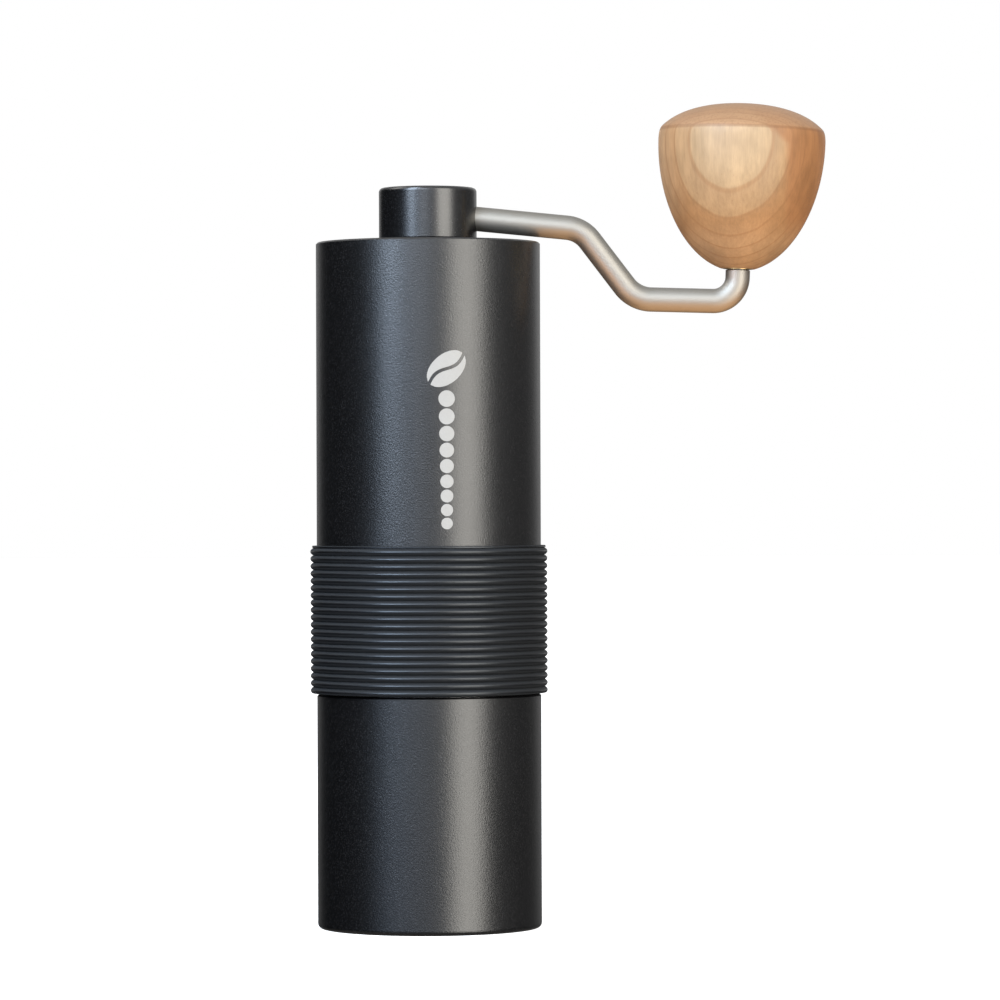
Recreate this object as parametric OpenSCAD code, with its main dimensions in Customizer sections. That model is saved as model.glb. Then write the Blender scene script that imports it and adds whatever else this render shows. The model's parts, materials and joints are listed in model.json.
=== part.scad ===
// Hand crank coffee grinder: a slim conical-burr grinder with a lift-off crank and lid,
// a ribbed grip band, a click-stop grind adjuster and a screw-on grounds cup.
// Millimetres, +Z up. The origin is the centre of the grinder's base, on the drive shaft's axis.
// The crank points along +X.

/* [Body] */
// Outer diameter of the body tube and the grounds cup
body_d = 55; // [55:0.1:56]
// Height of the tube's top rim above the base
body_h = 168; // [166:0.5:172]
// Wall of the tube around the bean hopper
hopper_wall = 3; // [2.8:0.1:3]
// Height of the joint between the tube and the cup
seam_z = 57.4; // [57.4:0.1:57.6]

/* [Grip band] */
// Height of the band's lower edge
band_z = 57.64; // [57.6:0.02:60]
// Number of ribs on the band
band_ribs = 20; // [12:1:24]
// Distance from one rib to the next
band_pitch = 1.79; // [1.4:0.01:1.9]
// Height of a rib above its valley
band_rib_h = 0.75; // [0.4:0.05:1]
// Thickness of the band in a valley
band_wall = 0.85; // [0.6:0.05:1.2]
// Height of the plain lip above the ribs
band_lip = 0.55; // [0.2:0.05:1.5]

/* [Cup] */
// Thickness of the cup's floor
cup_floor = 2.5; // [2:0.1:4]
// Inner diameter of the cup
cup_bore_d = 50; // [49.8:0.1:50.2]
// Advance of the cup's thread in one turn
cup_lead = 3; // [2.8:0.1:3.2]

/* [Crank] */
// Diameter of the hub
hub_d = 24; // [22:0.5:26]
// Height of the hub above its washer
hub_h = 12.8; // [12.5:0.1:14]
// Diameter of the arm's rod
arm_d = 6; // [5.5:0.1:6]
// Reach of the arm, from the shaft's axis to its upright end
arm_reach = 75.8; // [70:0.1:85]
// Height of the arm's lower run above the base
arm_low_z = 153.3; // [152:0.1:156]
// Fall of the arm where it leaves the hub, in degrees below level
arm_fall = 5.7; // [4:0.1:6]
// Outward lean of the arm's upright end and of the knob, in degrees
knob_lean = 2; // [0:0.1:3]

/* [Knob] */
// Largest diameter of the wooden knob
knob_d = 41; // [38:0.5:44]
// Height of the knob
knob_h = 41.2; // [41:0.1:44]

/* [Lid] */
// Thickness of the lid's plate
lid_t = 2.95; // [2.5:0.05:3.2]
// Depth of the plug that fits inside the tube
lid_plug_h = 7; // [6.9:0.1:7.2]

/* [Burrs] */
// Outer diameter of the fixed ring burr
ring_burr_d = 46; // [45.8:0.1:46]
// Number of fine teeth on the ring burr
ring_teeth = 42; // [30:1:48]
// Number of fine teeth on the cone burr
cone_teeth = 36; // [30:1:42]
// Horizontal gap between the burrs' grinding bands at rest
burr_gap = 0.26; // [0.25:0.01:0.3]

/* [Shaft and bearings] */
// Diameter of the drive shaft
shaft_d = 8; // [7.9:0.1:8]
// Width of the shaft's hexagon across its flats
hex_af = 6.9; // [6.5:0.1:6.9]
// Number of balls in each bearing
bearing_balls = 9; // [7:1:9]

/* [Adjuster] */
// Diameter of the adjusting dial
dial_d = 28; // [26:0.5:30]
// Advance of the dial's thread in one turn
dial_lead = 1; // [1:0.05:1.1]
// Number of click stops in one turn
clicks = 30; // [24:1:36]

/* [Hidden] */

fine = 128;       // facets of large round shapes
medium = 64;      // facets of small round shapes
slip = 0.02;      // clearance of pieces that are fitted together for good
running = 0.05;   // radial clearance of pieces that turn or slide on each other
edge = 0.4;       // usual broken edge
through = 1;      // how far a cutting shape runs past what it cuts

body_r = body_d / 2;
hopper_r = body_r - hopper_wall;

// Seats bored into the two ends of the tube
seat_r = hopper_r + 0.5;
bridge_z = body_h - 22;
lid_seat_r = body_r - 1.75;
lid_top = body_h - 0.6;
lid_seat_z = lid_top - lid_t;
lid_boss_z = lid_seat_z - 3;
carrier_top = seam_z + 23.6;

// Cup thread: the carrier's male crest and root, and the cup's own
male_crest = seat_r - running;
male_root = male_crest - 0.65;
cup_root = male_crest + 0.15;
cup_crest = male_root + 0.15;
thread_turns = 1.5;
thread_steps = 40;
thread_base_w = 1.5;
thread_tip_w = 0.7;
thread_sink = 0.3;
carrier_bottom = seam_z - 7.8;
cup_rim = seam_z - 0.2;
cup_seal_r = 0.75;
cup_seal_z = cup_rim - cup_seal_r + 0.1;

// Burrs
ring_r = ring_burr_d / 2;
ring_bottom = seam_z - 5.2;
ring_top = ring_bottom + 14;
ring_low_r = 19.3;
ring_knee = [18.25, ring_bottom + 3.8];
ring_throat = [15.8, ring_bottom + 10.3];
ring_lip_r = 20;
grind_slope = (ring_low_r - ring_knee[0]) / (ring_knee[1] - ring_bottom);
cone_bottom = seam_z - 6.8;
cone_top = cone_bottom + 18.4;
cone_low_z = ring_bottom - 0.8;
cone_knee_z = ring_bottom + 2.8;
function cone_r(z) = ring_low_r - burr_gap - grind_slope * (z - ring_bottom);
cone_tip_r = 8;
spring_pocket_r = 6.4;
spring_pocket_z = cone_bottom + 9.4;

// Shaft
shaft_r = shaft_d / 2;
flats_af = 6.2;
socket_bottom = body_h - 10;
hex_bottom = socket_bottom + 0.5;
shaft_top = body_h + 1;
plate_z = cone_bottom - 1.6;
flats_bottom = plate_z - 2.2;
flats_top = cone_top + 3;
shaft_bottom = plate_z - 10.5;
screw_crest = 2.95;
screw_root = 2.4;

// Bearings: bore 8, outside 16, width 5
race_in_r = 4;
race_out_r = 8;
race_w = 5;
ball_r = 1.15;
ball_pitch_r = 6;
groove_r = 1.18;
race_gap_r = 0.9;
lower_bearing_z = seam_z + 16.6;
upper_bearing_z = bridge_z + 2;
bearing_lip_r = 6.6;
hub_wall_r = 10.5;

// Crank
washer_z = lid_top + 0.05;
washer_t = 1.1;
hub_z = washer_z + washer_t + 0.05;
hub_r = hub_d / 2;
neck_r = 7;
clip_t = 1;
neck_clip_z = lid_boss_z - clip_t - 0.1;
sleeve_r = 5.5;
sleeve_h = 11.8;
arm_r = arm_d / 2;
arm_exit_z = hub_z + 5.2;
arm_inner_x = -4;
arm_outer_x = 37.6;
arm_drop_x = 50.7;
arm_low_fall = 1.6;
arm_bends = [8, 8.5, 6];
arm_bend_steps = 9;
arm_sides = 28;

// Knob
knob_base_up = 7.4;
knob_r = knob_d / 2;
pin_r = 2.5;
knob_bore_r = 3.6;
knob_bore_h = 30;
bush_bottom = 0.55;
bush_top = 25;
pin_top = 28;
knob_clip_z = 25.9;
knob_side_h = 33.4;
knob_steps = 26;
dome_steps = 16;
edge_steps = 6;
edge_round = 1.5;

// Adjuster
dial_top = plate_z - 0.3;
dial_h = 7.2;
dial_bottom = dial_top - dial_h;
dial_r = dial_d / 2;
// Turn of the dial's thread that puts it halfway between the shaft's turns
dial_phase = 360 * (dial_bottom - shaft_bottom - 0.2) / dial_lead;
click_r = 9.5;
click_ball_r = 1;
click_ball_z = dial_top - click_ball_r + 0.22;

function unit(v) = v / norm(v);
function polar(r, a, z) = [r * cos(a), r * sin(a), z];

// Points of a circular arc, for a rounded edge of a turned outline
function arc(centre, r, from, to) =
  [for (i = [0:edge_steps]) let (a = from + (to - from) * i / edge_steps) centre + r * [cos(a), sin(a)]];

function bezier(a, b, c, d, t) =
  pow(1 - t, 3) * a + 3 * pow(1 - t, 2) * t * b + 3 * (1 - t) * t * t * c + pow(t, 3) * d;

// A ring between two radii and two heights
module ring(r_in, r_out, z0, z1, facets = fine) {
  translate([0, 0, z0])
    difference() {
      cylinder(r = r_out, h = z1 - z0, $fn = facets);
      translate([0, 0, -through]) cylinder(r = r_in, h = z1 - z0 + 2 * through, $fn = facets);
    }
}

// A solid of revolution from a list of [radius, height] points
module turned(points, facets = fine) {
  rotate_extrude($fn = facets) polygon(points);
}

// An elastic ring of round section
module o_ring(centre_r, section_r, z) {
  translate([0, 0, z]) rotate_extrude($fn = fine) translate([centre_r, 0]) circle(r = section_r, $fn = 32);
}

// A flat retaining clip: a ring with one gap
module clip(r_in, r_out, z, t, gap, facets = medium) {
  difference() {
    ring(r_in, r_out, z, z + t, facets);
    translate([-gap / 2, 0, z - through]) cube([gap, r_out + through, t + 2 * through]);
  }
}

// A round cutter from one point to another
module cutter(from, to, r, facets = 32) {
  run = to - from;
  translate(from)
    rotate([0, acos(run[2] / norm(run)), atan2(run[1], run[0])])
      cylinder(r = r, h = norm(run), $fn = facets);
}

// Copies of a child around the axis
module around(count, start = 0) {
  for (i = [0:count - 1]) rotate([0, 0, start + i * 360 / count]) children();
}

// A right-hand helical ridge of trapezoid section. It fades out at both ends.
module helical_ridge(r_base, r_tip, base_w, tip_w, lead, z0, turns, phase, steps) {
  n = round(turns * steps);
  fade = steps / 8;
  outward = r_tip > r_base;
  function corners(a, z, r) = [
    for (c = [[r_base, -base_w / 2], [r, -tip_w / 2], [r, tip_w / 2], [r_base, base_w / 2]])
      [c[0] * cos(a), c[0] * sin(a), z + c[1]]
  ];
  points = [
    for (i = [0:n])
      let (height = max(0.02, min(1, i / fade, (n - i) / fade)))
      each corners(phase + 360 * i / steps, z0 + lead * i / steps, r_base + (r_tip - r_base) * height)
  ];
  flanks = [
    for (i = [0:n - 1])
      for (j = [0:3])
        let (a = 4 * i + j, b = 4 * i + (j + 1) % 4)
        outward ? [a, b, b + 4, a + 4] : [a + 4, b + 4, b, a]
  ];
  ends = outward
    ? [[3, 2, 1, 0], [for (j = [0:3]) 4 * n + j]]
    : [[0, 1, 2, 3], [for (j = [3:-1:0]) 4 * n + j]];
  polyhedron(points = points, faces = concat(flanks, ends), convexity = 10);
}

// A closed tube through rings of points: each ring has the same number of sides
module ring_sweep(rings) {
  n = len(rings);
  sides = len(rings[0]);
  walls = [
    for (i = [0:n - 2])
      for (j = [0:sides - 1])
        let (k = (j + 1) % sides)
        [i * sides + j, i * sides + k, (i + 1) * sides + k, (i + 1) * sides + j]
  ];
  start = [for (j = [sides - 1:-1:0]) j];
  end = [for (j = [0:sides - 1]) (n - 1) * sides + j];
  polyhedron(points = [for (r = rings) each r], faces = concat(walls, [start, end]), convexity = 10);
}

// A round-wire compression spring that stands between two heights
module coil_spring(mean_r, wire_r, z0, z1, coils, steps, sides) {
  n = coils * steps;
  rise = (z1 - z0 - 2 * wire_r) / n;
  ring_sweep([
    for (i = [0:n])
      let (a = 360 * i / steps, z = z0 + wire_r + rise * i)
      [
        for (j = [0:sides - 1])
          let (b = -360 * j / sides, r = mean_r + wire_r * cos(b))
          [r * cos(a), r * sin(a), z + wire_r * sin(b)]
      ]
  ]);
}

// Round stock with two flats, and the hole that fits it
module double_d(r, af, z0, z1) {
  intersection() {
    translate([0, 0, z0]) cylinder(r = r, h = z1 - z0, $fn = medium);
    translate([-r - through, -af / 2, z0]) cube([2 * (r + through), af, z1 - z0]);
  }
}

// ---------- Body ----------

module body_tube() {
  color("#26262a")
    difference() {
      turned([
        [seat_r, seam_z], [body_r - edge, seam_z], [body_r, seam_z + edge],
        [body_r, body_h - edge], [body_r - edge, body_h], [lid_seat_r + edge / 2, body_h],
        [lid_seat_r, body_h - edge / 2], [lid_seat_r, lid_seat_z], [seat_r, lid_seat_z],
        [seat_r, bridge_z - slip], [hopper_r, bridge_z - slip], [hopper_r, carrier_top + slip],
        [seat_r, carrier_top + slip]
      ]);
      carrier_screw_shape(slip);
    }
}

module grip_band() {
  inner = body_r + slip;
  valley = body_r + band_wall;
  lip_r = valley + 0.3;
  // Each rib is a rounded crest between sharp valleys, and the lowest is trimmed to end with the band
  trim = 45;
  lowest = band_z - band_pitch * (1 - cos(trim)) / 2;
  ribs_top = lowest + band_ribs * band_pitch;
  top = ribs_top + band_lip;
  color("#1d1d1f")
    turned(concat(
      [[inner, band_z]],
      [
        for (rib = [0:band_ribs - 1], angle = [rib == 0 ? trim : 0:15:165])
          [
            valley + band_rib_h * pow(sin(angle), 1.7),
            lowest + (rib + (1 - cos(angle)) / 2) * band_pitch
          ]
      ],
      [[valley, ribs_top], [lip_r, ribs_top + 0.1], [lip_r, top - 0.12], [lip_r - 0.12, top], [inner, top]]
    ));
}

// Three arms that carry a bearing seat in the middle of a ring
module spider(ring_in, z0, z1) {
  around(3, 90) translate([hub_wall_r - 1, -2.25, z0]) cube([ring_in - hub_wall_r + 2, 4.5, z1 - z0]);
}

module upper_bridge() {
  top = bridge_z + 8;
  color("#8d9095")
    union() {
      ring(seat_r - 2.6, seat_r - slip, bridge_z, top);
      spider(seat_r - 2.6, bridge_z + 0.5, bridge_z + 6);
      turned([
        [bearing_lip_r, bridge_z + 0.5], [hub_wall_r - edge, bridge_z + 0.5],
        [hub_wall_r, bridge_z + 0.5 + edge], [hub_wall_r, upper_bearing_z + race_w],
        [race_out_r + slip, upper_bearing_z + race_w], [race_out_r + slip, upper_bearing_z],
        [bearing_lip_r, upper_bearing_z]
      ]);
    }
}

// Countersunk screws that hold the burr carrier, hidden under the grip band
module carrier_screw_shape(extra) {
  around(3, 30)
    translate([0, 0, seam_z + 12.6])
      rotate([0, 90, 0]) {
        translate([0, 0, body_r - 5.4]) cylinder(r = 1.45 + extra, h = 4.9, $fn = medium);
        translate([0, 0, body_r - 2]) cylinder(r1 = 1.45 + extra, r2 = 2.9 + extra, h = 1.5, $fn = medium);
        translate([0, 0, body_r - 0.5]) cylinder(r = 2.9 + extra, h = 0.3 + 10 * extra, $fn = medium);
      }
}

module carrier_screws() {
  color("#b9bcc0")
    difference() {
      carrier_screw_shape(0);
      around(3, 30)
        translate([body_r - 1.6, 0, seam_z + 12.6])
          rotate([0, 90, 0]) cylinder(d = 2 / cos(30), h = 2, $fn = 6);
    }
}

module burr_carrier() {
  color("#9a9da1")
    difference() {
      union() {
        turned([
          [ring_r + running, carrier_bottom], [male_root - edge, carrier_bottom],
          [male_root, carrier_bottom + edge], [male_root, seam_z - 1.8], [male_crest, seam_z - 1.2],
          [seat_r - slip, seam_z], [seat_r - slip, carrier_top - edge], [seat_r - slip - edge, carrier_top],
          [seat_r - 2.6, carrier_top], [ring_lip_r, ring_top + slip], [ring_r + running, ring_top + slip]
        ]);
        helical_ridge(male_root - thread_sink, male_crest, thread_base_w, thread_tip_w, cup_lead,
          carrier_bottom + 1.2, thread_turns, 0, thread_steps);
        spider(seat_r - 3.6, lower_bearing_z, lower_bearing_z + 6);
        turned([
          [race_out_r + slip, lower_bearing_z], [hub_wall_r, lower_bearing_z],
          [hub_wall_r, lower_bearing_z + 6.5 - edge], [hub_wall_r - edge, lower_bearing_z + 6.5],
          [bearing_lip_r, lower_bearing_z + 6.5], [bearing_lip_r, lower_bearing_z + race_w],
          [race_out_r + slip, lower_bearing_z + race_w]
        ]);
      }
      carrier_screw_shape(slip);
    }
}

// ---------- Burrs ----------

module ring_burr() {
  color("#c9cbce")
    difference() {
      turned([
        [ring_low_r, ring_bottom], [ring_r, ring_bottom], [ring_r, ring_top], [ring_lip_r, ring_top],
        ring_throat, ring_knee
      ]);
      // Fine teeth of the grinding band
      around(ring_teeth)
        translate([ring_low_r + 0.25, 0, ring_bottom - through])
          rotate([14, -atan(grind_slope), 0]) cylinder(r = 0.85, h = 6.2, $fn = 3);
      // Coarse grooves that draw the beans down
      around(8)
        cutter(polar(ring_knee[0] + 0.5, 0, ring_knee[1] - 1.5),
          polar(ring_throat[0] + 0.7, 30, ring_throat[1] + 2.5), 1.8);
    }
}

module cone_burr() {
  waist = [cone_r(cone_knee_z), cone_knee_z];
  color("#c9cbce")
    difference() {
      turned([
        [0, cone_bottom], [cone_r(cone_low_z) - 1, cone_bottom], [cone_r(cone_low_z), cone_low_z],
        waist, [13, ring_throat[1] - 0.6], [cone_tip_r + 0.6, cone_top - 1], [cone_tip_r, cone_top],
        [0, cone_top]
      ]);
      around(cone_teeth)
        translate([cone_r(cone_low_z) + 0.2, 0, cone_low_z - through])
          rotate([-18, -atan(grind_slope) - 2, 0]) rotate([0, 0, 180]) cylinder(r = 0.85, h = 6.4, $fn = 3);
      // Crushing flutes
      around(6, 15)
        cutter(polar(waist[0] + 2.4, 0, cone_knee_z - 2.2), polar(cone_tip_r + 1.6, -46, cone_top + 1), 3);
      double_d(shaft_r + running, flats_af + 2 * running, cone_bottom - through, cone_top + through);
      translate([0, 0, spring_pocket_z]) cylinder(r = spring_pocket_r, h = 20, $fn = medium);
    }
}

// Threaded ring that locks the ring burr in its seat, with four spanner notches
module burr_retaining_ring() {
  color("#8d9095")
    difference() {
      ring(ring_r - 2.2, ring_r, carrier_bottom + 0.2, ring_bottom - slip);
      around(4, 45)
        translate([ring_r - 2.8, -1.25, carrier_bottom - through]) cube([1.9, 2.5, through + 1.5]);
    }
}

// ---------- Bearings ----------

module race_groove(z) {
  translate([0, 0, z + race_w / 2])
    rotate_extrude($fn = fine) translate([ball_pitch_r, 0]) circle(r = groove_r, $fn = 32);
}

module outer_race(z) {
  color("#d4d6d9")
    difference() {
      ring(ball_pitch_r + race_gap_r, race_out_r, z, z + race_w, medium);
      race_groove(z);
    }
}

module inner_race(z) {
  color("#d4d6d9")
    difference() {
      ring(race_in_r + slip, ball_pitch_r - race_gap_r, z, z + race_w, medium);
      race_groove(z);
    }
}

module bearing_ball_set(z) {
  color("#e6e8ea")
    around(bearing_balls) translate([ball_pitch_r, 0, z + race_w / 2]) sphere(r = ball_r, $fn = 32);
}

// Crown cage with one pocket for each ball
module bearing_cage(z) {
  mid = z + race_w / 2;
  color("#b08d4a")
    difference() {
      ring(ball_pitch_r - 0.5, ball_pitch_r + 0.5, mid + 0.2, mid + 1.7, medium);
      around(bearing_balls)
        translate([ball_pitch_r, 0, mid]) sphere(r = ball_r + running, $fn = 32);
    }
}

module bearing_shields(z) {
  color("#a9acb0")
    for (low = [z + 0.2, z + race_w - 0.45])
      ring(race_gap_r + 4.3, ball_pitch_r + race_gap_r - slip, low, low + 0.25, medium);
}

module upper_bearing_outer_race() { outer_race(upper_bearing_z); }
module upper_bearing_inner_race() { inner_race(upper_bearing_z); }
module upper_bearing_balls() { bearing_ball_set(upper_bearing_z); }
module upper_bearing_cage() { bearing_cage(upper_bearing_z); }
module upper_bearing_shields() { bearing_shields(upper_bearing_z); }
module lower_bearing_outer_race() { outer_race(lower_bearing_z); }
module lower_bearing_inner_race() { inner_race(lower_bearing_z); }
module lower_bearing_balls() { bearing_ball_set(lower_bearing_z); }
module lower_bearing_cage() { bearing_cage(lower_bearing_z); }
module lower_bearing_shields() { bearing_shields(lower_bearing_z); }

// ---------- Shaft ----------

module drive_shaft() {
  clip_z = upper_bearing_z + race_w + slip;
  hex_h = shaft_top - hex_bottom;
  color("#d0d2d5")
    difference() {
      union() {
        translate([0, 0, flats_top]) cylinder(r = shaft_r, h = hex_bottom - flats_top, $fn = medium);
        double_d(shaft_r, flats_af, flats_bottom, flats_top);
        translate([0, 0, shaft_bottom + 0.5]) cylinder(r = screw_root, h = 10, $fn = medium);
        translate([0, 0, shaft_bottom])
          cylinder(r1 = screw_root - 0.5, r2 = screw_root, h = 0.5, $fn = medium);
        helical_ridge(screw_root - 0.2, screw_crest, 0.75, 0.2, dial_lead, shaft_bottom + 0.7, 6.8, 0, 20);
        translate([0, 0, hex_bottom])
          intersection() {
            cylinder(d = hex_af / cos(30), h = hex_h, $fn = 6);
            cylinder(r1 = shaft_r + 7, r2 = shaft_r - 0.9, h = hex_h, $fn = medium);
          }
      }
      ring(shaft_r - 0.6, shaft_r + 1, clip_z, clip_z + clip_t, medium);
    }
}

module shaft_clip() {
  z = upper_bearing_z + race_w + 2 * slip;
  color("#55585c") clip(shaft_r - 0.58, shaft_r + 2.2, z, clip_t - 2 * slip, 4);
}

// Stepped washer: its narrow side bears on the lower inner race, its wide side on the spring
module spring_washer() {
  z = lower_bearing_z;
  color("#c0c3c7")
    turned([
      [shaft_r + running, z - 1.2], [6, z - 1.2], [6, z - 0.5], [5, z - 0.4], [5, z - slip],
      [shaft_r + running, z - slip]
    ], medium);
}

module burr_spring() {
  color("#b4b7bb") coil_spring(5.3, 0.45, spring_pocket_z + slip, lower_bearing_z - 1.2 - slip, 5, 24, 8);
}

// ---------- Grind adjuster ----------

module click_plate() {
  color("#c0c3c7")
    difference() {
      translate([0, 0, plate_z]) cylinder(r = 12, h = 1.55, $fn = fine);
      around(clicks) translate([click_r, 0, plate_z - through]) cylinder(r = 0.7, h = 4, $fn = 24);
      double_d(shaft_r + running, flats_af + 2 * running, plate_z - through, plate_z + 4);
    }
}

module adjust_dial() {
  color("#2b2b2e")
    difference() {
      union() {
        difference() {
          turned([
            [screw_crest + 0.1, dial_bottom], [dial_r - 2.5, dial_bottom],
            [dial_r - 1.5, dial_bottom + 0.8], [dial_r - edge, dial_bottom + 1.6],
            [dial_r, dial_bottom + 2], [dial_r, dial_top - edge], [dial_r - edge, dial_top],
            [screw_crest + 0.1, dial_top]
          ]);
          // Finger grooves around the rim
          around(24)
            translate([dial_r + 0.9, 0, dial_bottom - through])
              cylinder(r = 1.4, h = dial_h + 2 * through, $fn = 24);
        }
        helical_ridge(screw_crest + 0.3, screw_root + 0.15, 0.7, 0.2, dial_lead,
          dial_bottom + 0.5, 3.2, 180 + dial_phase, 20);
      }
      click_pockets();
      // Counterbore that clears the shaft's flats
      translate([0, 0, dial_top - 2.9]) cylinder(r = shaft_r + 0.2, h = 2.9 + through, $fn = medium);
    }
}

module click_pockets() {
  around(2) translate([click_r, 0, dial_top - 5.4]) cylinder(r = click_ball_r + running, h = 8, $fn = 32);
}

module click_balls() {
  color("#e6e8ea") around(2) translate([click_r, 0, click_ball_z]) sphere(r = click_ball_r, $fn = 32);
}

module click_springs() {
  color("#b4b7bb")
    around(2)
      translate([click_r, 0, 0])
        coil_spring(0.66, 0.16, dial_top - 5.38, click_ball_z - click_ball_r - slip, 5, 12, 6);
}

// ---------- Lid ----------

module lid() {
  plug_r = seat_r - 0.6;
  plug_z = lid_seat_z - lid_plug_h;
  groove_z = plug_z + 3.2;
  color("#222226")
    turned([
      [neck_r + 0.1, lid_boss_z], [10, lid_boss_z], [10, lid_seat_z], [plug_r - 2.9, lid_seat_z],
      [plug_r - 2.9, plug_z], [plug_r - edge, plug_z], [plug_r, plug_z + edge],
      [plug_r, groove_z - 0.9], [plug_r - 1.2, groove_z - 0.9], [plug_r - 1.2, groove_z + 0.9],
      [plug_r, groove_z + 0.9], [plug_r, lid_seat_z + slip], [lid_seat_r - 0.15, lid_seat_z + slip],
      [lid_seat_r - 0.15, lid_top - edge], [lid_seat_r - 0.15 - edge, lid_top], [neck_r + 0.1, lid_top]
    ]);
}

module lid_seal() {
  color("#303033") o_ring(seat_r - 0.9, 0.85, lid_seat_z - lid_plug_h + 3.2);
}

// ---------- Crank ----------

// Centre line of the arm in the XZ plane: corners before they are rounded
arm_top_end = [arm_inner_x, arm_exit_z + (hub_r - arm_inner_x) * tan(arm_fall)];
arm_corner_1 = [arm_outer_x, arm_exit_z - (arm_outer_x - hub_r) * tan(arm_fall)];
arm_corner_3 = [arm_reach, arm_low_z];
arm_corner_2 = [arm_drop_x, arm_low_z + (arm_reach - arm_drop_x) * tan(arm_low_fall)];
knob_dir = [sin(knob_lean), cos(knob_lean)];
knob_base = arm_corner_3 + knob_base_up * knob_dir;

arm_corners = [arm_top_end, arm_corner_1, arm_corner_2, arm_corner_3, knob_base + 0.35 * knob_dir];

// [point, direction angle] of each section of the rod, bends rounded in equal steps
function arm_sections() =
  let (
    dirs = [for (i = [0:3]) unit(arm_corners[i + 1] - arm_corners[i])],
    heads = [for (d = dirs) atan2(d[1], d[0])],
    turns = [for (i = [0:2]) heads[i + 1] - heads[i]]
  )
  concat(
    [[arm_corners[0], heads[0]]],
    [
      for (i = [0:2])
        let (
          r = arm_bends[i],
          side = sign(turns[i]),
          cut = r * tan(abs(turns[i]) / 2),
          start = arm_corners[i + 1] - cut * dirs[i],
          centre = start + side * r * [-dirs[i][1], dirs[i][0]]
        )
        for (k = [0:arm_bend_steps])
          let (head = heads[i] + turns[i] * k / arm_bend_steps)
          [centre + side * r * [sin(head), -cos(head)], head]
    ],
    [[arm_corners[4], heads[3]]]
  );

// Puts a child at the knob's base, with its +Z along the leaning pin
module at_knob() {
  translate([knob_base[0], 0, knob_base[1]]) rotate([0, knob_lean, 0]) children();
}

module arm_rod() {
  ring_sweep([
    for (s = arm_sections())
      [
        for (j = [0:arm_sides - 1])
          let (b = 360 * j / arm_sides, up = arm_r * cos(b))
          [s[0][0] - up * sin(s[1]), arm_r * sin(b), s[0][1] + up * cos(s[1])]
      ]
  ]);
}

module crank_arm() {
  color("#c4c2bd")
    difference() {
      union() {
        arm_rod();
        at_knob() {
          translate([0, 0, -1]) cylinder(r = pin_r, h = pin_top + 0.5, $fn = medium);
          translate([0, 0, pin_top - 0.5]) cylinder(r1 = pin_r, r2 = pin_r - 0.5, h = 0.5, $fn = medium);
        }
      }
      at_knob() ring(pin_r - 0.6, pin_r + 1, knob_clip_z, knob_clip_z + 0.6, medium);
    }
}

module crank_hub() {
  top = hub_z + hub_h;
  round = 1;
  color("#26262a")
    difference() {
      turned(concat(
        [
          [0, socket_bottom], [neck_r - edge, socket_bottom], [neck_r, socket_bottom + edge],
          [neck_r, neck_clip_z], [neck_r - 0.8, neck_clip_z], [neck_r - 0.8, neck_clip_z + clip_t],
          [neck_r, neck_clip_z + clip_t], [neck_r, hub_z], [hub_r - edge, hub_z], [hub_r, hub_z + edge]
        ],
        arc([hub_r - round, top - round], round, 0, 90),
        [[0, top]]
      ));
      translate([0, 0, socket_bottom - through])
        cylinder(r = sleeve_r, h = sleeve_h + 0.2 + through, $fn = medium);
      // Bore for the arm
      translate([arm_top_end[0] - slip, 0, arm_top_end[1]])
        rotate([0, 90 + arm_fall, 0]) cylinder(r = arm_r + slip, h = 40, $fn = medium);
      // Tapped hole for the grub screw, at the back
      translate([6, 0, grub_z]) rotate([-90, 0, 0]) cylinder(r = 2, h = 20, $fn = medium);
    }
}

grub_z = arm_exit_z + (hub_r - 6) * tan(arm_fall);

module arm_grub_screw() {
  color("#55585c")
    translate([6, 0, grub_z])
      rotate([-90, 0, 0])
        difference() {
          translate([0, 0, arm_r + slip]) cylinder(r = 2 - slip, h = 5, $fn = medium);
          translate([0, 0, arm_r + 3.2]) cylinder(d = 2 / cos(30), h = 4, $fn = 6);
        }
}

module hub_washer() {
  color("#e8e6df") ring(neck_r + 0.1, hub_r - 1, washer_z, washer_z + washer_t);
}

module hub_clip() {
  color("#55585c") clip(neck_r - 0.78, neck_r + 1.8, neck_clip_z + slip, clip_t - 2 * slip, 6);
}

// Steel sleeve with the hexagon that drives the shaft
module drive_socket() {
  color("#b9bcc0")
    difference() {
      translate([0, 0, socket_bottom]) cylinder(r = sleeve_r - slip, h = sleeve_h, $fn = medium);
      translate([0, 0, socket_bottom - through])
        cylinder(d = (hex_af + 0.2) / cos(30), h = sleeve_h + 2 * through, $fn = 6);
      translate([0, 0, socket_bottom - slip]) cylinder(r1 = 4.6, r2 = 4, h = 0.6, $fn = medium);
    }
}

// ---------- Knob ----------

// Outline of the knob: a full side that draws in to a narrow foot, a small rounded edge, a shallow dome
side_top = [knob_r, knob_side_h - edge_round];
dome_edge = [knob_r - 0.75, knob_h - 6];
function knob_side(t) = bezier([0, 0], [0.585 * knob_r, 0], [knob_r, 15.8], side_top, t);
function knob_edge(t) = bezier(side_top, [knob_r, knob_side_h], dome_edge + [0.55, -0.6], dome_edge, t);
function knob_dome(t) = bezier(dome_edge, [15.6, knob_h - 1.8], [8.5, knob_h], [0, knob_h], t);

module knob() {
  foot = 0.12;
  color("#c8925e")
    at_knob()
      difference() {
        turned(concat(
          [[0, knob_side(foot)[1]]],
          [for (i = [0:knob_steps]) knob_side(foot + (1 - foot) * i / knob_steps)],
          [for (i = [1:edge_steps - 1]) knob_edge(i / edge_steps)],
          [for (i = [0:dome_steps]) knob_dome(i / dome_steps)]
        ));
        translate([0, 0, -through])
          cylinder(r = knob_bore_r + slip, h = knob_bore_h + through, $fn = medium);
      }
}

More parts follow.
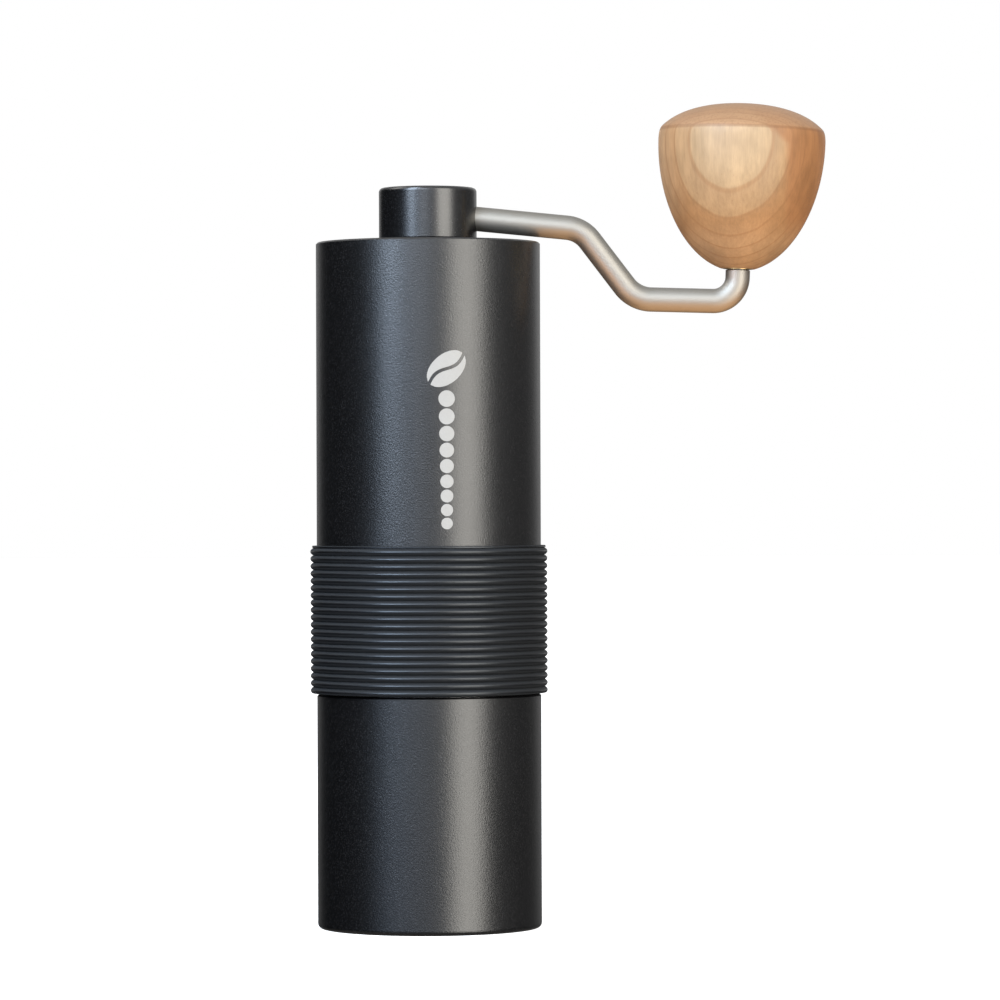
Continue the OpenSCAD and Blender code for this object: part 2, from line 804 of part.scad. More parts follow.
// Sleeve that is fixed in the wood and turns on the pin
module knob_bush() {
  color("#c7a65a") at_knob() ring(pin_r + running, knob_bore_r, bush_bottom, bush_top, medium);
}

module knob_washer() {
  color("#c0c3c7")
    at_knob() ring(pin_r + 0.03, knob_bore_r - 0.2, bush_top + 0.1, knob_clip_z - 0.1, medium);
}

module knob_clip() {
  color("#55585c")
    at_knob() clip(pin_r - 0.58, knob_bore_r - 0.25, knob_clip_z + slip, 0.6 - 2 * slip, 1.6);
}

// ---------- Grounds cup ----------

module cup_seal() {
  color("#303033") o_ring(male_crest + 0.95, cup_seal_r, cup_seal_z);
}

module grounds_cup() {
  bore_r = cup_bore_d / 2;
  foot = 1.2;
  fillet = 2;
  thread_low = carrier_bottom - 0.6;
  color("#26262a")
    union() {
      turned(concat(
        [[0, 0]],
        arc([body_r - foot, foot], foot, -90, 0),
        [
          [body_r, cup_rim - 0.3], [body_r - 0.3, cup_rim], [male_crest + 1.75, cup_rim],
          [male_crest + 1.75, cup_seal_z - cup_seal_r - slip], [cup_root, cup_seal_z - cup_seal_r - slip],
          [cup_root, thread_low], [bore_r, thread_low - 0.1]
        ],
        arc([bore_r - fillet, cup_floor + fillet], fillet, 0, -90),
        [[0, cup_floor]]
      ));
      helical_ridge(cup_root + thread_sink, cup_crest, thread_base_w, thread_tip_w, cup_lead,
        carrier_bottom + 1.2, thread_turns - 0.1, 180, thread_steps);
    }
}

body_tube();
grip_band();
upper_bridge();
burr_carrier();
carrier_screws();
ring_burr();
burr_retaining_ring();
upper_bearing_outer_race();
upper_bearing_shields();
lower_bearing_outer_race();
lower_bearing_shields();
lid();
lid_seal();
crank_hub();
hub_washer();
hub_clip();
drive_socket();
crank_arm();
arm_grub_screw();
knob_washer();
knob_clip();
knob();
knob_bush();
drive_shaft();
shaft_clip();
upper_bearing_inner_race();
lower_bearing_inner_race();
spring_washer();
burr_spring();
cone_burr();
click_plate();
adjust_dial();
click_balls();
click_springs();
upper_bearing_balls();
upper_bearing_cage();
lower_bearing_balls();
lower_bearing_cage();
cup_seal();
grounds_cup();
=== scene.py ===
"""Hand crank coffee grinder: finely meshed visible parts, procedural materials and a pale studio.

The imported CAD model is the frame. Every size here is in metres, and comes from the frame where it can."""

import json
import math

import bpy
from mathutils import Matrix, Vector


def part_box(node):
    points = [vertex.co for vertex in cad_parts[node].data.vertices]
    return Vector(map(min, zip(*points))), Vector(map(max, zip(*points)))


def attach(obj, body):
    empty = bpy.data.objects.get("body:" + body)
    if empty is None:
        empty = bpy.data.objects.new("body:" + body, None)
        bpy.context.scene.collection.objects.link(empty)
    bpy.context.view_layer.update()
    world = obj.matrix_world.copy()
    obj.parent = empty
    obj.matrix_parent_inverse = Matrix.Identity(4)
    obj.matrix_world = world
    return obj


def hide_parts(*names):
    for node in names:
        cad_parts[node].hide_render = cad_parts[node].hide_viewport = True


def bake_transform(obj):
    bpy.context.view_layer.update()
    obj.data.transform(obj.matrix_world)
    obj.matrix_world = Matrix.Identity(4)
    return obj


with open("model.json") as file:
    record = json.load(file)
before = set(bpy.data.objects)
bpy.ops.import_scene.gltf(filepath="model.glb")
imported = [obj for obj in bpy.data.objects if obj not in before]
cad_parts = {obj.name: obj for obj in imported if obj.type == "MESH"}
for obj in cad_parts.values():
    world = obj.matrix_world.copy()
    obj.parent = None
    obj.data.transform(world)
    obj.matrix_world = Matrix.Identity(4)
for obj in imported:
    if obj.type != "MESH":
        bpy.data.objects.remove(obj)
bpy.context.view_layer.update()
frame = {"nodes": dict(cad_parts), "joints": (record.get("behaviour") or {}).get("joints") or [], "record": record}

nodes = frame["nodes"]
MM = 0.001

# ---------- Places taken from the frame ----------

body_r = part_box("body_tube")[1].x
cup_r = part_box("grounds_cup")[1].x
dial_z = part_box("adjust_dial")[0].z
hub_low, hub_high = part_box("crank_hub")
knob_low, knob_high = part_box("knob")
spring_low, spring_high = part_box("burr_spring")
click_low, click_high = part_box("click_springs")
joint_of = {j["name"]: j for j in frame["joints"]}
knob_base = Vector(joint_of["knob_spin"]["pos_m"])
knob_axis = Vector(joint_of["knob_spin"]["axis"]).normalized()
knob_lean = Vector((0, 0, 1)).rotation_difference(knob_axis).to_matrix().to_4x4()
to_knob = Matrix.Translation(knob_base) @ knob_lean


# ---------- Meshes ----------

def add_mesh(name, points, faces, smooth=True, uvs=None):
    """A mesh object from points and faces. uvs, if given, holds a (u, v) for each point."""
    mesh = bpy.data.meshes.new(name)
    mesh.from_pydata([tuple(p) for p in points], [], faces)
    if uvs:
        layer = mesh.uv_layers.new(name="UVMap")
        for loop in mesh.loops:
            layer.data[loop.index].uv = uvs[loop.vertex_index]
    mesh.polygons.foreach_set("use_smooth", [smooth] * len(mesh.polygons))
    mesh.update()
    obj = bpy.data.objects.new(name, mesh)
    bpy.context.scene.collection.objects.link(obj)
    return obj


def sharpen(obj, degrees=32):
    """Keeps creases sharper than an angle, with the rest shaded smooth."""
    obj.data.set_sharp_from_angle(angle=math.radians(degrees))
    return obj


def lathe(name, outline, segments=160, place=None):
    """A closed turned solid. outline holds (radius, height) points; where it starts and ends on the axis,
    it closes with a point, and elsewhere it joins its own start."""
    points, rings = [], []
    for r, z in outline:
        if r < 1e-9:
            rings.append([len(points)])
            points.append(Vector((0, 0, z)))
        else:
            rings.append(list(range(len(points), len(points) + segments)))
            turn = 2 * math.pi / segments
            points += [Vector((r * math.cos(k * turn), r * math.sin(k * turn), z)) for k in range(segments)]
    closed = len(rings[0]) > 1
    faces = []
    for a, b in zip(rings, rings[1:] + ([rings[0]] if closed else [])):
        for k in range(segments):
            j = (k + 1) % segments
            corners = [a[k % len(a)], a[j % len(a)], b[j % len(b)], b[k % len(b)]]
            faces.append([c for i, c in enumerate(corners) if c not in corners[:i]])
    if place:
        points = [place @ p for p in points]
    return sharpen(add_mesh(name, points, faces))


def sweep(name, sections, sides=40):
    """A closed rod through sections of (centre, direction, radius), with no twist along its path."""
    points, uvs, faces = [], [], []
    side = sections[0][1].orthogonal().normalized()
    run = 0.0  # length of the path so far
    for n, (centre, direction, radius) in enumerate(sections):
        side = (side - side.dot(direction) * direction).normalized()
        other = direction.cross(side)
        if n:
            run += (centre - sections[n - 1][0]).length
        for k in range(sides):
            angle = 2 * math.pi * k / sides
            points.append(centre + radius * (math.cos(angle) * side + math.sin(angle) * other))
            uvs.append((k / sides, run))
    for n in range(len(sections) - 1):
        for k in range(sides):
            j = (k + 1) % sides
            low, high = n * sides, (n + 1) * sides
            faces.append([low + k, low + j, high + j, high + k])
    faces.append(list(range(sides))[::-1])
    faces.append([(len(sections) - 1) * sides + k for k in range(sides)])
    return sharpen(add_mesh(name, points, faces, uvs=uvs))


def bezier(points, t):
    """A point of a cubic curve with four control points."""
    a, b, c, d = (Vector(p) for p in points)
    return (1 - t) ** 3 * a + 3 * (1 - t) ** 2 * t * b + 3 * (1 - t) * t * t * c + t ** 3 * d


def circle(radius, sides):
    """Points round the grinder's axis, as (x, y)."""
    turns = [2 * math.pi * k / sides for k in range(sides)]
    return [(radius * math.cos(turn), radius * math.sin(turn)) for turn in turns]


def helix(centre, mean_r, wire_r, low, high, coils, steps=40):
    """Sections of a coil spring between two heights, with one closed coil at each end."""
    closed_pitch = 2.04 * wire_r
    open_pitch = (high - low - 2 * wire_r - 2 * closed_pitch) / (coils - 2)
    middle = []
    for i in range(coils * steps + 1):
        coil = i / steps
        open_coils = min(max(coil - 1, 0), coils - 2)
        closed_coils = min(coil, 1) + max(coil - coils + 1, 0)
        x = centre[0] + mean_r * math.cos(2 * math.pi * coil)
        y = centre[1] + mean_r * math.sin(2 * math.pi * coil)
        z = low + wire_r + closed_pitch * closed_coils + open_pitch * open_coils
        middle.append(Vector((x, y, z)))
    last = len(middle) - 1
    return [(p, (middle[min(i + 1, last)] - middle[max(i - 1, 0)]).normalized(), wire_r)
            for i, p in enumerate(middle)]


# ---------- Materials ----------

class Nodes:
    """Short ways to add shader nodes to a tree. Each returns the socket that holds its result."""

    def __init__(self, tree, place):
        self.tree = tree
        self.tree.nodes.clear()
        self.place = self.add("ShaderNodeTexCoord").outputs[place]

    def add(self, kind, **settings):
        node = self.tree.nodes.new(kind)
        for key, value in settings.items():
            setattr(node, key, value)
        return node

    def join(self, start, end):
        self.tree.links.new(start, end)

    def feed(self, socket, value):
        if isinstance(value, bpy.types.NodeSocket):
            self.join(value, socket)
        else:
            socket.default_value = value

    def math(self, operation, a, b=0.0, c=0.0):
        node = self.add("ShaderNodeMath", operation=operation)
        for socket, value in zip(node.inputs, (a, b, c)):
            self.feed(socket, value)
        return node.outputs[0]

    def length(self, x, y):
        """Length of the vector (x, y)."""
        squares = [self.math("MULTIPLY", side, side) for side in (x, y)]
        return self.math("SQRT", self.math("ADD", *squares))

    def along(self, value, start, end):
        """Maps start..end to 0..1, and goes on past both."""
        return self.math("DIVIDE", self.math("SUBTRACT", value, start), end - start)

    def scaled(self, scale, place=None):
        node = self.add("ShaderNodeVectorMath", operation="MULTIPLY")
        self.feed(node.inputs[0], place or self.place)
        node.inputs[1].default_value = scale
        return node.outputs[0]

    def split(self, place=None):
        node = self.add("ShaderNodeSeparateXYZ")
        self.feed(node.inputs[0], place or self.place)
        return node.outputs

    def rise(self):
        """How far a surface faces up: 1 on top, 0 on an upright side and -1 below."""
        return self.split(self.add("ShaderNodeTexCoord").outputs["Normal"])[2]

    def joined(self, x, y, z):
        node = self.add("ShaderNodeCombineXYZ")
        for socket, value in zip(node.inputs, (x, y, z)):
            self.feed(socket, value)
        return node.outputs[0]

    def noise(self, scale, detail=3.0, roughness=0.55, place=None):
        """Noise about 0.5. scale is a number, or one for each axis, in waves per metre."""
        size = scale if isinstance(scale, tuple) else (scale, scale, scale)
        node = self.add("ShaderNodeTexNoise")
        self.join(self.scaled(size, place), node.inputs["Vector"])
        node.inputs["Scale"].default_value = 1.0
        node.inputs["Detail"].default_value = detail
        node.inputs["Roughness"].default_value = roughness
        return node.outputs[0]

    def ramp(self, value, stops, interpolation="EASE"):
        node = self.add("ShaderNodeValToRGB")
        self.feed(node.inputs[0], value)
        elements = node.color_ramp.elements
        node.color_ramp.interpolation = interpolation
        while len(elements) < len(stops):
            elements.new(0.5)
        for element, (at, colour) in zip(elements, stops):
            element.position = at
            element.color = (*(colour if isinstance(colour, tuple) else (colour,) * 3), 1.0)
        return node.outputs[0]

    def bearings(self, value, stops):
        """A ramp over a bearing in radians, -pi to pi, with its stops in degrees."""
        share = self.math("MULTIPLY_ADD", value, 0.5 / math.pi, 0.5)
        return self.ramp(share, [(0.5 + degrees / 360, colour) for degrees, colour in stops])

    def mix(self, factor, a, b, blend="MIX"):
        node = self.add("ShaderNodeMix", data_type="RGBA", blend_type=blend)
        self.feed(node.inputs[0], factor)
        for socket, value in ((node.inputs[6], a), (node.inputs[7], b)):
            self.feed(socket, (*value, 1.0) if isinstance(value, tuple) else value)
        return node.outputs[2]

    def spread(self, value, low, high):
        """Maps 0..1 to low..high."""
        node = self.add("ShaderNodeMapRange")
        self.feed(node.inputs[0], value)
        node.inputs[3].default_value = low
        node.inputs[4].default_value = high
        return node.outputs[0]


class Material(Nodes):
    """A material with a Principled shader."""

    def __init__(self, name, **sockets):
        self.data = bpy.data.materials.new(name)
        self.data.use_nodes = True
        super().__init__(self.data.node_tree, "Object")
        self.shader = self.add("ShaderNodeBsdfPrincipled")
        self.join(self.shader.outputs[0], self.add("ShaderNodeOutputMaterial").inputs[0])
        for socket, value in sockets.items():
            self.shader.inputs[socket.replace("_", " ")].default_value = value

    def colour(self, value):
        self.feed(self.shader.inputs["Base Color"], value)

    def roughness(self, value):
        self.feed(self.shader.inputs["Roughness"], value)

    def bump(self, height, depth, strength=1.0):
        """height is 0..1; depth is its size in metres."""
        node = self.add("ShaderNodeBump")
        self.join(height, node.inputs["Height"])
        node.inputs["Distance"].default_value = depth
        node.inputs["Strength"].default_value = strength
        self.join(node.outputs[0], self.shader.inputs["Normal"])


def black_anodised(name, low=0.25, high=0.34, depth=0.000045):
    """Fine-blasted aluminium, dyed black: a satin, faintly grainy skin of a given roughness."""
    m = Material(name, IOR=1.75)
    blast = m.noise(2700, 2.0, 0.6)
    cloud = m.noise(55, 3.0)
    tone = m.mix(m.spread(cloud, 0.2, 0.8), (0.0008, 0.0008, 0.0011), (0.0020, 0.0020, 0.0025))
    speck = m.ramp(m.noise(2800, 1.0), [(0.50, 0.0), (0.74, 0.30)])
    m.colour(m.mix(speck, tone, (0.042, 0.042, 0.045)))
    m.roughness(m.math("ADD", m.spread(blast, low, high), m.spread(cloud, -0.02, 0.02)))
    m.bump(blast, depth)
    return m.data


def silicone_black():
    """Moulded silicone: matte, with a faint bloom and a very fine moulding texture."""
    m = Material("silicone_black", IOR=1.60, Specular_Tint=(0.88, 0.94, 1.0, 1.0))
    bloom = m.noise((220, 220, 900), 4.0)
    m.colour(m.mix(m.spread(bloom, 0.15, 0.85), (0.0015, 0.0015, 0.0020), (0.004, 0.004, 0.005)))
    # The ribs' flanks, which a hand never rubs, stay dull
    flank = m.ramp(m.math("ABSOLUTE", m.rise()), [(0.25, 0.0), (0.60, 0.48)])
    m.roughness(m.math("ADD", m.spread(m.noise(1500, 2.0), 0.31, 0.42), flank))
    m.bump(m.noise(3000, 2.0), 0.00002)
    return m.data


def seal_rubber():
    """Oiled nitrile rubber."""
    m = Material("seal_rubber", IOR=1.5)
    m.colour(m.mix(m.noise(600, 3.0), (0.010, 0.010, 0.011), (0.022, 0.022, 0.023)))
    m.roughness(m.spread(m.noise(2400), 0.28, 0.42))
    m.bump(m.noise(3800), 0.000008)
    return m.data


# The knob's growth rings, measured from the middle of the tree that it was cut from
TREE_X = knob_base.x + 9.5 * MM
TREE_Y = 44 * MM
RING_STEP = 2.4 * MM
RING_END = 15.4 * MM  # where one of the rings ends


def wood_tone_and_painted_light(m, tree_x, z, from_middle, drift):
    """The wood's broad tones: cream in the youngest rings, orange brown in the oldest. It also carries
    painted shade on one side, and painted light on the other side and at the foot.
    """
    tone = m.ramp(m.along(from_middle, 40 * MM, 65 * MM), [
        (0.30, (0.280, 0.136, 0.053)), (0.70, (0.310, 0.162, 0.068)), (0.82, (0.330, 0.180, 0.079)),
        (0.85, (0.374, 0.236, 0.120)), (0.92, (0.378, 0.245, 0.130)), (0.945, (0.408, 0.287, 0.163)),
        (1.0, (0.424, 0.308, 0.185))], "LINEAR")
    # Painted shade: orange brown over one side, behind an edge that slants towards the top
    slant = m.math("MAXIMUM", m.math("SUBTRACT", z, knob_high.z - 11 * MM), 0.0)
    edge = m.math("ADD", m.math("ADD", tree_x, slant), drift)
    painted_shade_side = m.ramp(m.along(edge, 0, 10 * MM), [(0.02, 0.0), (0.30, 0.9)])
    tone = m.mix(painted_shade_side, tone, (0.300, 0.140, 0.057))
    # Painted light: paler over the other side and at the foot
    side = m.ramp(m.along(tree_x, -20 * MM, -30 * MM), [(0.15, 0.0), (0.95, 0.75)])
    foot = m.ramp(m.along(z, knob_low.z + 14 * MM, knob_low.z + 4 * MM), [(0.10, 0.0), (1.0, 0.45)])
    tone = m.mix(m.math("MAXIMUM", side, foot), tone, (0.500, 0.330, 0.185))
    patches = m.noise((150, 150, 70), 3.0, 0.6)
    return m.mix(0.6, tone, m.ramp(patches, [(0.32, 0.36), (0.68, 0.58)]), "OVERLAY")


def add_end_grain(m, wood, line):
    """End grain on the dome, and a darker rim where it meets the side."""
    up = m.rise()
    tone = m.mix(m.math("MULTIPLY", line, 0.45), (0.330, 0.183, 0.092), (0.215, 0.108, 0.050))
    pores = m.ramp(m.noise(1700, 2.0), [(0.46, 0.0), (0.66, 0.55)])
    tone = m.mix(pores, tone, (0.225, 0.118, 0.056))
    on_dome = m.ramp(up, [(0.30, 0.0), (0.50, 1.0)])
    wood = m.mix(m.math("MULTIPLY", on_dome, 0.80), wood, tone)
    rim = m.ramp(up, [(0.20, 0.0), (0.30, 0.50), (0.40, 0.50), (0.54, 0.0)])
    return m.mix(rim, wood, (0.190, 0.088, 0.038))


def knob_wood():
    """Oiled wood with wide growth rings about a vertical axis behind the knob, which draw nested arcs
    on its front, fine fibres along the grain and darker end grain on the dome. Painted shade darkens one side;
    painted light pales the other side and the foot."""
    m = Material("knob_wood", IOR=1.45, Coat_Weight=0.06, Coat_Roughness=0.35)
    x, y, z = m.split()
    tree_x = m.math("SUBTRACT", x, TREE_X)
    tree_y = m.math("SUBTRACT", y, TREE_Y)
    drift = m.spread(m.noise((60, 60, 14), 2.0), -0.7 * MM, 0.7 * MM)
    from_middle = m.math("ADD", m.length(tree_x, tree_y), drift)
    tone = wood_tone_and_painted_light(m, tree_x, z, from_middle, drift)
    # A thin darker line at the end of each ring
    ring = m.math("FRACT", m.along(from_middle, RING_END, RING_END + RING_STEP))
    line = m.ramp(ring, [(0.0, 0.90), (0.07, 0.10), (0.45, 0.0), (0.84, 0.14), (0.95, 1.0)])
    wood = m.mix(m.math("MULTIPLY", line, 0.42), tone, (0.240, 0.112, 0.045))
    fibres = m.noise((1500, 1500, 70), 4.0, 0.7)
    wood = m.mix(0.42, wood, m.ramp(fibres, [(0.30, 0.38), (0.70, 0.59)]), "OVERLAY")
    pores = m.ramp(m.noise((2600, 2600, 210), 1.0), [(0.68, 0.0), (0.80, 0.28)])
    wood = m.mix(pores, wood, (0.20, 0.092, 0.04))
    m.colour(add_end_grain(m, wood, line))
    m.roughness(m.spread(fibres, 0.40, 0.58))
    m.bump(m.mix(0.4, fibres, line), 0.00004, 0.5)
    return m.data


def brushed_rod():
    """Stainless rod, brushed along its length: the streaks follow the mesh's own map, bends included."""
    m = Material("brushed_stainless", Metallic=1.0)
    uv = m.add("ShaderNodeUVMap", uv_map="UVMap").outputs[0]
    u, v, _ = m.split(uv)
    around = m.math("MULTIPLY", u, 2 * math.pi)
    seamless = m.joined(m.math("COSINE", around), m.math("SINE", around), m.math("MULTIPLY", v, 40.0))
    streak = m.noise(26.0, 5.0, 0.7, seamless)
    smear = m.noise(3.0, 2.0, 0.5, seamless)
    m.colour(m.mix(streak, (0.295, 0.280, 0.252), (0.380, 0.362, 0.328)))
    m.roughness(m.math("ADD", m.spread(streak, 0.46, 0.60), m.spread(smear, -0.04, 0.04)))
    m.bump(streak, 0.000012, 0.7)
    return m.data


METAL_RELIEF = 0.006 * MM  # depth of the finest marks on bare metal


def turned_metal(name, dark, light, rough, line=5200.0):
    """Metal turned on the grinder's axis: fine tool lines around it, with slow changes of tone."""
    m = Material(name, Metallic=1.0)
    x, y, z = m.split()
    radius = m.length(x, y)
    lathe_place = m.joined(radius, m.math("MULTIPLY", radius, 0.02), z)
    lines = m.noise(line, 2.0, 0.6, lathe_place)
    cloud = m.noise(140, 3.0)
    m.colour(m.mix(m.math("MULTIPLY", m.math("ADD", lines, cloud), 0.5), dark, light))
    m.roughness(m.math("ADD", m.spread(lines, *rough), m.spread(cloud, -0.04, 0.04)))
    m.bump(lines, METAL_RELIEF, 0.7)
    return m.data


def grained_metal(name, dark, light, rough, scale=900.0, depth=METAL_RELIEF):
    """Metal with an even fine grain, for small stamped, plated or sintered pieces."""
    m = Material(name, Metallic=1.0)
    grain = m.noise(scale, 4.0, 0.65)
    m.colour(m.mix(grain, dark, light))
    m.roughness(m.spread(m.noise(scale * 2.7, 2.0), *rough))
    m.bump(grain, depth, 0.7)
    return m.data


def acetal():
    """Black bearing plastic of the hub washer."""
    m = Material("black_acetal", IOR=1.48)
    m.colour(m.mix(m.noise(300), (0.010, 0.010, 0.011), (0.018, 0.018, 0.019)))
    m.roughness(m.spread(m.noise(1800), 0.34, 0.46))
    m.bump(m.noise(2500), 0.000006)
    return m.data


def white_print():
    """Satin white ink with a slightly uneven cover."""
    m = Material("print_white", IOR=1.45)
    cover = m.noise(1900, 3.0)
    m.colour(m.mix(m.spread(cover, 0.2, 0.8), (0.305, 0.300, 0.288), (0.380, 0.373, 0.360)))
    m.roughness(m.spread(cover, 0.42, 0.58))
    m.bump(cover, 0.000005)
    return m.data


finish = {
    "black_anodised": black_anodised("black_anodised"),
    "silicone_black": silicone_black(),
    "seal_rubber": seal_rubber(),
    "knob_wood": knob_wood(),
    "brushed_stainless": turned_metal(
        "turned_stainless", (0.50, 0.49, 0.47), (0.68, 0.67, 0.65), (0.20, 0.30)),
    "machined_aluminium": turned_metal(
        "machined_aluminium", (0.56, 0.57, 0.58), (0.76, 0.77, 0.78), (0.26, 0.40)),
    "burr_steel": turned_metal(
        "burr_steel", (0.40, 0.40, 0.41), (0.60, 0.60, 0.61), (0.22, 0.34), 7000.0),
    "bearing_steel": grained_metal(
        "bearing_steel", (0.66, 0.67, 0.69), (0.76, 0.77, 0.79), (0.08, 0.16)),
    "zinc_steel": grained_metal(
        "zinc_steel", (0.50, 0.51, 0.52), (0.66, 0.67, 0.69), (0.26, 0.38)),
    "spring_steel": grained_metal(
        "spring_steel", (0.12, 0.115, 0.11), (0.26, 0.25, 0.24), (0.26, 0.38), 1400.0),
    "bronze": grained_metal(
        "bronze", (0.46, 0.29, 0.12), (0.66, 0.46, 0.21), (0.30, 0.44), 2600.0, 0.00001),
    "black_acetal": acetal(),
    "print_white": white_print(),
}
rod_finish = brushed_rod()
hub_finish = black_anodised("black_anodised_fine", 0.235, 0.295, 0.000020)


def wear(obj, material):
    """Gives an object one material."""
    obj.data.materials.clear()
    obj.data.materials.append(material)


for entry in frame["record"]["subparts"]:
    wear(nodes[entry["node"]], finish[entry["material_slot"]])
wear(nodes["crank_hub"], hub_finish)


def fit_piece(obj, body, slot, material=None, stands_for=()):
    """Finishes a Blender piece: its material (the slot's, unless one is given), its body and the CAD nodes that it
    stands for.
    """
    wear(obj, material or finish[slot])
    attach(obj, body)
    if stands_for:
        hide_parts(*stands_for)


# ---------- Knob ----------

KNOB_R = 20.5 * MM
KNOB_H = 41.2 * MM
KNOB_BORE_R = 3.62 * MM
KNOB_BORE_H = 30 * MM
BORE_BEVEL_R = 0.2 * MM
BORE_BEVEL_H = 0.25 * MM
KNOB_FOOT = 0.12  # share of the side's curve that the flat foot cuts off


def knob_outline():
    """Half section of the knob: bore, flat foot, full side, small rounded edge, shallow dome."""
    side_top = (KNOB_R, 31.9 * MM)
    edge_r = KNOB_R - 0.75 * MM
    edge_z = KNOB_H - 6 * MM
    dome_edge = (edge_r, edge_z)

    def curve(points, steps, start=0.0):
        ts = [start + (1 - start) * k / steps for k in range(steps + 1)]
        return [bezier(points, t) for t in ts]

    side = curve([(0, 0), (0.585 * KNOB_R, 0), (KNOB_R, 15.8 * MM), side_top], 48, KNOB_FOOT)
    edge = curve([side_top, (KNOB_R, 33.4 * MM), (edge_r + 0.55 * MM, edge_z - 0.6 * MM), dome_edge], 10)
    dome = curve([dome_edge, (15.6 * MM, KNOB_H - 1.8 * MM), (8.5 * MM, KNOB_H), (0, KNOB_H)], 36)
    foot_z = side[0][1]
    bore = [(0, KNOB_BORE_H), (KNOB_BORE_R, KNOB_BORE_H), (KNOB_BORE_R, foot_z + BORE_BEVEL_H),
            (KNOB_BORE_R + BORE_BEVEL_R, foot_z)]
    outline = bore + [tuple(p) for p in side + edge[1:] + dome[1:-1]]
    return outline + [(0, KNOB_H)]


knob = lathe("wooden_knob", knob_outline(), 192, to_knob)
fit_piece(knob, "knob", "knob_wood", stands_for=["knob"])
knob.visible_glossy = False  # no brown patch in the black hub beside it


# ---------- Crank arm ----------

ARM_R = 3 * MM
ARM_BEVEL = 0.3 * MM
PIN_R = 2.5 * MM
PIN_GROOVE_R = 1.9 * MM
ARM_FALL = math.radians(5.7)
ARM_LOW_FALL = math.radians(1.6)
KNOB_UP = 7.4 * MM  # from the arm's last corner to the knob's base
ARM_START_X = -4 * MM
ARM_CORNER_X = (37.6 * MM, 50.7 * MM)
ARM_EXIT_Z = hub_low.z + 15.8 * MM  # where the arm's centre line leaves the hub
ARM_BENDS = (8 * MM, 8.5 * MM, 6 * MM)
BEND_STEPS = 24


def arm_sections():
    """The rod's corners lie in the XZ plane; each is rounded to its own bend radius."""
    hub_r = hub_high.x
    last = knob_base - KNOB_UP * knob_axis
    start = Vector((ARM_START_X, 0, ARM_EXIT_Z + (hub_r - ARM_START_X) * math.tan(ARM_FALL)))
    first = Vector((ARM_CORNER_X[0], 0, ARM_EXIT_Z - (ARM_CORNER_X[0] - hub_r) * math.tan(ARM_FALL)))
    second = Vector((ARM_CORNER_X[1], 0, last.z + (last.x - ARM_CORNER_X[1]) * math.tan(ARM_LOW_FALL)))
    corners = [start, first, second, last, knob_base]
    headings = [(b - a).normalized() for a, b in zip(corners, corners[1:])]
    sections = [(start, headings[0], ARM_R - ARM_BEVEL),
                (start + ARM_BEVEL * headings[0], headings[0], ARM_R)]
    for corner, into, out, bend in zip(corners[1:], headings, headings[1:], ARM_BENDS):
        turn = into.angle(out)
        hinge = into.cross(out).normalized()
        begin = corner - bend * math.tan(turn / 2) * into
        centre = begin + bend * hinge.cross(into)
        for k in range(BEND_STEPS + 1):
            swing = Matrix.Rotation(turn * k / BEND_STEPS, 3, hinge)
            sections.append((centre + swing @ (begin - centre), swing @ into, ARM_R))
    # Shoulder, pin, groove for the clip, and bevelled end: millimetres above the knob's base, and radius
    pin = [(0.2, ARM_R), (0.35, ARM_R - 0.15 * MM), (0.35, PIN_R), (25.9, PIN_R), (25.9, PIN_GROOVE_R),
           (26.5, PIN_GROOVE_R), (26.5, PIN_R), (27.5, PIN_R), (28.0, PIN_R - 0.5 * MM)]
    return sections + [(knob_base + up * MM * knob_axis, knob_axis, r) for up, r in pin]


arm = sweep("bent_arm", arm_sections(), 48)
fit_piece(arm, "crank", "brushed_stainless", rod_finish, ["crank_arm"])


# ---------- Springs ----------

COILS = 7

BURR_WIRE_R = 0.45 * MM
burr_mean_r = spring_high.x - BURR_WIRE_R
burr_coils = helix((0, 0), burr_mean_r, BURR_WIRE_R, spring_low.z, spring_high.z, COILS)
burr_spring = sweep("burr_coil_spring", burr_coils, 16)
wear(burr_spring, finish["spring_steel"])
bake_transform(burr_spring)
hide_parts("burr_spring")

CLICK_WIRE_R = 0.16 * MM
CLICK_MEAN_R = 0.66 * MM
click_x = click_high.x - CLICK_MEAN_R - CLICK_WIRE_R
for name, x in (("click_spring_left", -click_x), ("click_spring_right", click_x)):
    coils = helix((x, 0), CLICK_MEAN_R, CLICK_WIRE_R, click_low.z, click_high.z, COILS, 20)
    fit_piece(sweep(name, coils, 10), "dial", "spring_steel", stands_for=["click_springs"])


# ---------- Printed marks ----------

INK = 0.03 * MM  # how far a print stands proud, and how far it reaches in
MARK_TURN = math.radians(10)  # from the front towards the crank arm
MARK_TOP = 140.8 * MM


def on_tube(across, z, lift=INK):
    """A point on the tube's skin: across is measured round it from the mark's middle line."""
    turn = MARK_TURN + across / body_r
    return Vector(((body_r + lift) * math.sin(turn), -(body_r + lift) * math.cos(turn), z))


def print_grid(rows):
    """Points and faces of a raised print, from equally long rows of (across, z) points."""
    width = len(rows[0])
    points = [on_tube(a, z) for row in rows for a, z in row]
    faces = [[r * width + k, r * width + k + 1, (r + 1) * width + k + 1, (r + 1) * width + k]
             for r in range(len(rows) - 1) for k in range(width - 1)]
    rim = list(range(width))
    rim += [r * width + width - 1 for r in range(1, len(rows))]
    rim += [(len(rows) - 1) * width + k for k in range(width - 2, -1, -1)]
    rim += [r * width for r in range(len(rows) - 2, 0, -1)]
    flat = [p for row in rows for p in row]
    foot = len(points)
    points += [on_tube(*flat[i], -INK) for i in rim]
    for k in range(len(rim)):
        j = (k + 1) % len(rim)
        faces.append([rim[j], rim[k], foot + k, foot + j])
    return points, faces


